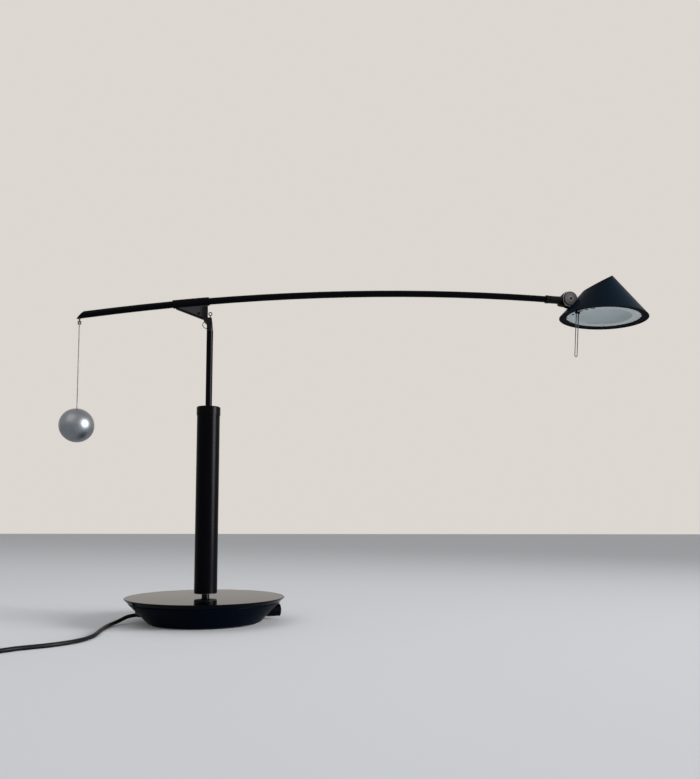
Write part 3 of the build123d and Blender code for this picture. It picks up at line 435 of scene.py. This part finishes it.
collar_coat, shader = new_material("collar_coat", (0.0006, 0.0006, 0.0014), 0.28)
set_specular(shader, 0.04)
vary(collar_coat, shader, object_noise(collar_coat, 60.0), "Roughness", 0.26, 0.36)
grain(collar_coat, shader, object_noise(collar_coat, 1700.0), 0.000012)
finish_nodes(collar_coat, "sleeve_collar")

stem_coat, shader = new_material("stem_coat", (0.0006, 0.0006, 0.0012), 0.3)
set_specular(shader, 0.04)
streaks = object_noise(stem_coat, 50.0, stretch=(1.0, 1.0, 0.3))
vary(stem_coat, shader, streaks, "Roughness", 0.25, 0.36)
grain(stem_coat, shader, object_noise(stem_coat, 1600.0), 0.000012)
finish_nodes(stem_coat, "stem")

post_black, shader = new_material("post_black", (0.002, 0.002, 0.003), 0.25)
set_specular(shader, 0.1)
streaks = object_noise(post_black, 90.0, stretch=(1.0, 1.0, 0.1))
vary(post_black, shader, streaks, "Roughness", 0.2, 0.33)
finish_nodes(post_black, "post")

bush_plastic, shader = new_material("bush_plastic", (0.006, 0.006, 0.007), 0.5)
vary(bush_plastic, shader, object_noise(bush_plastic, 200.0), "Roughness", 0.42, 0.58)
finish_nodes(bush_plastic, "lower_bush", "upper_bush", "thrust_disc")


# Fork, pin, eye and jumper --------------------------------------------------
# Cast fork in the stem's black with a blackened pivot pin, a small eye of dull
# steel, and the short, thin low voltage lead that loops out beside the fork.
fork_black, shader = new_material("fork_black", (0.002, 0.002, 0.003), 0.38)
set_specular(shader, 0.12)
vary(fork_black, shader, object_noise(fork_black, 120.0), "Roughness", 0.32, 0.46)
grain(fork_black, shader, object_noise(fork_black, 1500.0), 0.00003)
finish_nodes(fork_black, "stem_head")

joint_black, shader = new_material("joint_black", (0.0015, 0.0015, 0.0022), 0.3)
set_specular(shader, 0.1)
vary(joint_black, shader, object_noise(joint_black, 100.0), "Roughness", 0.24, 0.36)
grain(joint_black, shader, object_noise(joint_black, 1500.0), 0.000012)
finish_nodes(joint_black, "pivot_pin")

pin_steel, shader = new_material("pin_steel", (0.035, 0.035, 0.038), 0.34, 1.0)
vary(pin_steel, shader, object_noise(pin_steel, 900.0), "Roughness", 0.26, 0.45)
grain(pin_steel, shader, object_noise(pin_steel, 2500.0), 0.00001)
finish_nodes(pin_steel, "lead_eye")

jumper_sleeve, shader = new_material("jumper_sleeve", (0.006, 0.006, 0.006), 0.42)
vary(jumper_sleeve, shader, object_noise(jumper_sleeve, 500.0), "Roughness", 0.36, 0.5)
finish_nodes(jumper_sleeve, "jumper_lead")


# Arm, saddle bracket and plug -----------------------------------------------
# Bowed steel tube in gloss black stove enamel, with the cast saddle in a flatter
# black and, at the back, the chisel-cut plug with the pin that the ball hangs on.
arm_enamel, shader = new_material("arm_enamel", (0.0007, 0.0008, 0.0014), 0.22)
set_specular(shader, 0.04)
streaks = object_noise(arm_enamel, 35.0, stretch=(0.3, 1.0, 1.0))
vary(arm_enamel, shader, streaks, "Roughness", 0.17, 0.26)
grain(arm_enamel, shader, object_noise(arm_enamel, 1300.0), 0.000008)
finish_nodes(arm_enamel, "arm_tube", "arm_plug")
finish_nodes(joint_black, "bracket_screw")
finish_nodes(pin_steel, "hanger_pin")

# The arm bends about bow_centre, and the sleeve's lower edge is sleeve_edge from
# it. The wedge's face is grey. The sleeve is black, and a narrow band along the
# wedge's lower edge is painted black as shade, for its underside in shadow.
bow_centre = (0.4701, 0.0, -3.0011)
sleeve_edge = 3.5028
wedge_tip = (-0.0502, 0.0, 0.4619)
wedge_normal = (0.325, 0.0, 0.946)
sleeve_blur = 0.0012
# Painted shade: the band along the wedge's lower edge is painted black, for the underside in
# shadow.
edge_shade_from = 0.0012
edge_shade_to = 0.0026
black_and_edge_shade = (0.0015, 0.0015, 0.002)
face_grey = (0.026, 0.026, 0.027)


def soft_step(material, value, low, high):
    """Rises from 0 to 1 as the value goes from low to high."""
    step = material.node_tree.nodes.new("ShaderNodeMapRange")
    step.interpolation_type = "SMOOTHSTEP"
    step.inputs["From Min"].default_value = low
    step.inputs["From Max"].default_value = high
    material.node_tree.links.new(value, step.inputs["Value"])
    return step.outputs["Result"]


def wedge_face(material):
    """Where the flat wedge face lies: below the sleeve and above the painted shade band along
    its lower edge.
    """
    tree = material.node_tree
    axle = ring_distance(material, bow_centre, "y")
    above = soft_step(material, axle.outputs["Value"], sleeve_edge - sleeve_blur, sleeve_edge)
    where = tree.nodes.new("ShaderNodeTexCoord")
    apart = tree.nodes.new("ShaderNodeVectorMath")
    apart.operation = "SUBTRACT"
    apart.inputs[1].default_value = wedge_tip
    height = tree.nodes.new("ShaderNodeVectorMath")
    height.operation = "DOT_PRODUCT"
    height.inputs[1].default_value = wedge_normal
    tree.links.new(where.outputs["Object"], apart.inputs[0])
    tree.links.new(apart.outputs["Vector"], height.inputs[0])
    inside = soft_step(material, height.outputs["Value"], edge_shade_from, edge_shade_to)
    both = tree.nodes.new("ShaderNodeMath")
    both.operation = "SUBTRACT"
    both.use_clamp = True
    tree.links.new(inside, both.inputs[0])
    tree.links.new(above, both.inputs[1])
    return both.outputs["Value"]


saddle_black, shader = new_material("saddle_black", (0.003, 0.003, 0.0036), 0.44)
set_specular(shader, 0.025)
# Black for the sleeve and for the painted shade band along the lower edge, grey for the face.
face_ramp = saddle_black.node_tree.nodes.new("ShaderNodeValToRGB")
face_ramp.color_ramp.elements[0].color = (*black_and_edge_shade, 1.0)
face_ramp.color_ramp.elements[1].color = (*face_grey, 1.0)
saddle_black.node_tree.links.new(wedge_face(saddle_black), face_ramp.inputs["Fac"])
saddle_black.node_tree.links.new(face_ramp.outputs["Color"], shader.inputs["Base Color"])
vary(saddle_black, shader, object_noise(saddle_black, 90.0), "Roughness", 0.40, 0.52)
grain(saddle_black, shader, object_noise(saddle_black, 1200.0), 0.00003)
finish_nodes(saddle_black, "arm_bracket")


# Head joint -----------------------------------------------------------------
# Black ferrule with the fixed half disc, and in front the turned grey disc with a
# socket screw in the middle. A thin ring just inside the disc's rim is painted dark
# as shade in its step. The rim is painted brighter, partly polish and partly painted
# highlight. The screw's socket is painted black as shade.
finish_nodes(joint_black, "arm_end", "friction_washer")

disc_at = (0.574, 0.0, 0.509)
disc_r = 0.0125
# Painted shade for the thin ring inside the rim, and a rim partly polish, partly painted
# highlight.
step_shade_ring = (0.012, 0.012, 0.014)
rim_polish_highlight = (0.34, 0.34, 0.35)
# Stops by share of disc_r: from 0.88 to 0.925 a ring of painted shade, then the rim with
# painted highlight.
disc_rings = [
    (0.0, (0.10, 0.10, 0.105)),
    (0.36, (0.18, 0.18, 0.19)),
    (0.40, (0.12, 0.12, 0.125)),
    (0.872, (0.08, 0.08, 0.085)),
    (0.88, step_shade_ring),
    (0.925, step_shade_ring),
    (0.945, rim_polish_highlight),
    (1.0, rim_polish_highlight),
]


def ring_colours(material, shader, distance, outer, stops):
    """Base colour by distance from the axis: the stops are shares of outer, in metres."""
    tree = material.node_tree
    span = tree.nodes.new("ShaderNodeMapRange")
    span.inputs["From Max"].default_value = outer
    ramp = tree.nodes.new("ShaderNodeValToRGB")
    while len(ramp.color_ramp.elements) < len(stops):
        ramp.color_ramp.elements.new(0.5)
    for element, (place, colour) in zip(ramp.color_ramp.elements, stops):
        element.position = place
        element.color = (*colour, 1.0)
    tree.links.new(distance.outputs["Value"], span.inputs["Value"])
    tree.links.new(span.outputs["Result"], ramp.inputs["Fac"])
    tree.links.new(ramp.outputs["Color"], shader.inputs["Base Color"])


disc_metal, shader = new_material("disc_metal", (0.11, 0.11, 0.115), 0.34, 0.85)
axle = ring_distance(disc_metal, disc_at, "y")
marks = turning_marks(disc_metal, axle, 4500.0)
vary(disc_metal, shader, marks, "Roughness", 0.28, 0.42)
grain(disc_metal, shader, marks, 0.000012)
ring_colours(disc_metal, shader, axle, disc_r, disc_rings)
finish_nodes(disc_metal, "head_disc")

screw_r = 0.003
# Painted shade: the socket in the middle of the screw is painted black, as shade in the
# recess.
socket_shade = (0.002, 0.002, 0.002)
screw_rings = [(0.0, socket_shade), (0.62, socket_shade), (0.66, (0.15, 0.15, 0.155))]
socket_steel, shader = new_material("socket_steel", (0.14, 0.14, 0.145), 0.3, 0.9)
axle = ring_distance(socket_steel, disc_at, "y")
ring_colours(socket_steel, shader, axle, screw_r, screw_rings)
vary(socket_steel, shader, object_noise(socket_steel, 1200.0), "Roughness", 0.25, 0.4)
finish_nodes(socket_steel, "joint_screw")


# Ball, wire and link --------------------------------------------------------
# Solid steel ball, satin ground, on a thin stiff wire with a yoke and a flat
# link, so that it hangs plumb however the arm is set.
ball_steel, shader = new_material("ball_steel", (0.215, 0.235, 0.258), 0.38, 1.0)
bands = object_noise(ball_steel, 240.0, 4.0, stretch=(1.0, 1.0, 3.0))
vary(ball_steel, shader, bands, "Roughness", 0.34, 0.41)
scratches = object_noise(ball_steel, 1500.0, stretch=(1.0, 1.0, 6.0))
grain(ball_steel, shader, scratches, 0.0000025)
finish_nodes(ball_steel, "counterweight")

wire_steel, shader = new_material("wire_steel", (0.10, 0.095, 0.09), 0.35, 1.0)
streaks = object_noise(wire_steel, 600.0, stretch=(1.0, 1.0, 0.2))
vary(wire_steel, shader, streaks, "Roughness", 0.28, 0.44)
finish_nodes(wire_steel, "weight_wire", "wire_yoke", "swivel_link")


# Shade and vent cap ---------------------------------------------------------
# Spun steel cone in deep blue black satin lacquer, cut off obliquely and closed
# by a slotted cap of the same finish, with a glossier ring turned in at the rim.
shade_lacquer, shader = new_material("shade_lacquer", (0.0003, 0.0056, 0.0120), 0.36)
set_specular(shader, 0.02)
vary(shade_lacquer, shader, object_noise(shade_lacquer, 38.0), "Roughness", 0.32, 0.42)
grain(shade_lacquer, shader, object_noise(shade_lacquer, 1300.0), 0.000018)
finish_nodes(shade_lacquer, "shade")

cap_lacquer, shader = new_material("cap_lacquer", (0.0004, 0.003, 0.0065), 0.42)
set_specular(shader, 0.02)
vary(cap_lacquer, shader, object_noise(cap_lacquer, 60.0), "Roughness", 0.38, 0.48)
grain(cap_lacquer, shader, object_noise(cap_lacquer, 1500.0), 0.000018)
finish_nodes(cap_lacquer, "vent_cap")

ring_lacquer, shader = new_material("ring_lacquer", (0.0006, 0.0012, 0.0030), 0.26)
set_specular(shader, 0.004)
vary(ring_lacquer, shader, object_noise(ring_lacquer, 60.0), "Roughness", 0.23, 0.31)
grain(ring_lacquer, shader, object_noise(ring_lacquer, 1500.0), 0.000015)
finish_nodes(ring_lacquer, "rim_ring")


# Reflector and clips --------------------------------------------------------
# Matt anodised aluminium reflector with faint spinning marks, held by two bright
# spring clips at the ends of the mouth.
reflector_at = (0.6332, 0.0, 0.481)
reflector_metal, shader = new_material("reflector_metal", (0.62, 0.67, 0.68), 0.72, 1.0)
axle = ring_distance(reflector_metal, reflector_at, "z")
marks = turning_marks(reflector_metal, axle, 2200.0)
vary(reflector_metal, shader, marks, "Roughness", 0.66, 0.78)
grain(reflector_metal, shader, object_noise(reflector_metal, 1600.0), 0.00002)
finish_nodes(reflector_metal, "reflector")

clip_steel, shader = new_material("clip_steel", (0.78, 0.78, 0.78), 0.25, 1.0)
vary(clip_steel, shader, object_noise(clip_steel, 700.0), "Roughness", 0.18, 0.32)
finish_nodes(clip_steel, "reflector_clips")


# Holder and capsule ---------------------------------------------------------
# Steatite ceramic holder behind the reflector's hole, and a clear quartz
# capsule with two molybdenum pins.
ceramic, shader = new_material("holder_ceramic", (0.70, 0.68, 0.62), 0.6)
patches = object_noise(ceramic, 180.0)
vary(ceramic, shader, patches, "Base Color", (0.64, 0.62, 0.56), (0.74, 0.72, 0.67))
grain(ceramic, shader, object_noise(ceramic, 1400.0), 0.00003)
finish_nodes(ceramic, "lamp_holder")

quartz, shader = new_material("quartz", (0.97, 0.98, 0.98), 0.03)
shader.inputs["Transmission Weight"].default_value = 1.0
shader.inputs["IOR"].default_value = 1.46
vary(quartz, shader, object_noise(quartz, 300.0), "Roughness", 0.01, 0.06)
finish_nodes(quartz, "halogen_capsule")
finish_nodes(screw_steel, "capsule_pins")


# Handle ---------------------------------------------------------------------
# Stainless wire bent to a long U, set in a small black block under the flange,
# cool enough to turn the hot head by.
handle_steel, shader = new_material("handle_steel", (0.05, 0.05, 0.052), 0.4, 1.0)
streaks = object_noise(handle_steel, 500.0, stretch=(1.0, 1.0, 0.2))
vary(handle_steel, shader, streaks, "Roughness", 0.34, 0.46)
finish_nodes(handle_steel, "handle_wire")
finish_nodes(joint_black, "handle_block")


# Strain relief and plug -----------------------------------------------------
# Moulded black PVC with a fine spark-eroded texture. The tapered relief grips
# the lead in the bowl's wall, and the plug's two pins are nickel plated.
moulded_pvc, shader = new_material("moulded_pvc", (0.011, 0.011, 0.012), 0.45)
vary(moulded_pvc, shader, object_noise(moulded_pvc, 70.0), "Roughness", 0.4, 0.54)
grain(moulded_pvc, shader, object_noise(moulded_pvc, 1500.0), 0.00003)
finish_nodes(moulded_pvc, "strain_relief", "plug_body")

nickel, shader = new_material("nickel_plate", (0.62, 0.58, 0.52), 0.22, 1.0)
vary(nickel, shader, object_noise(nickel, 300.0), "Roughness", 0.16, 0.3)
finish_nodes(nickel, "plug_pins")
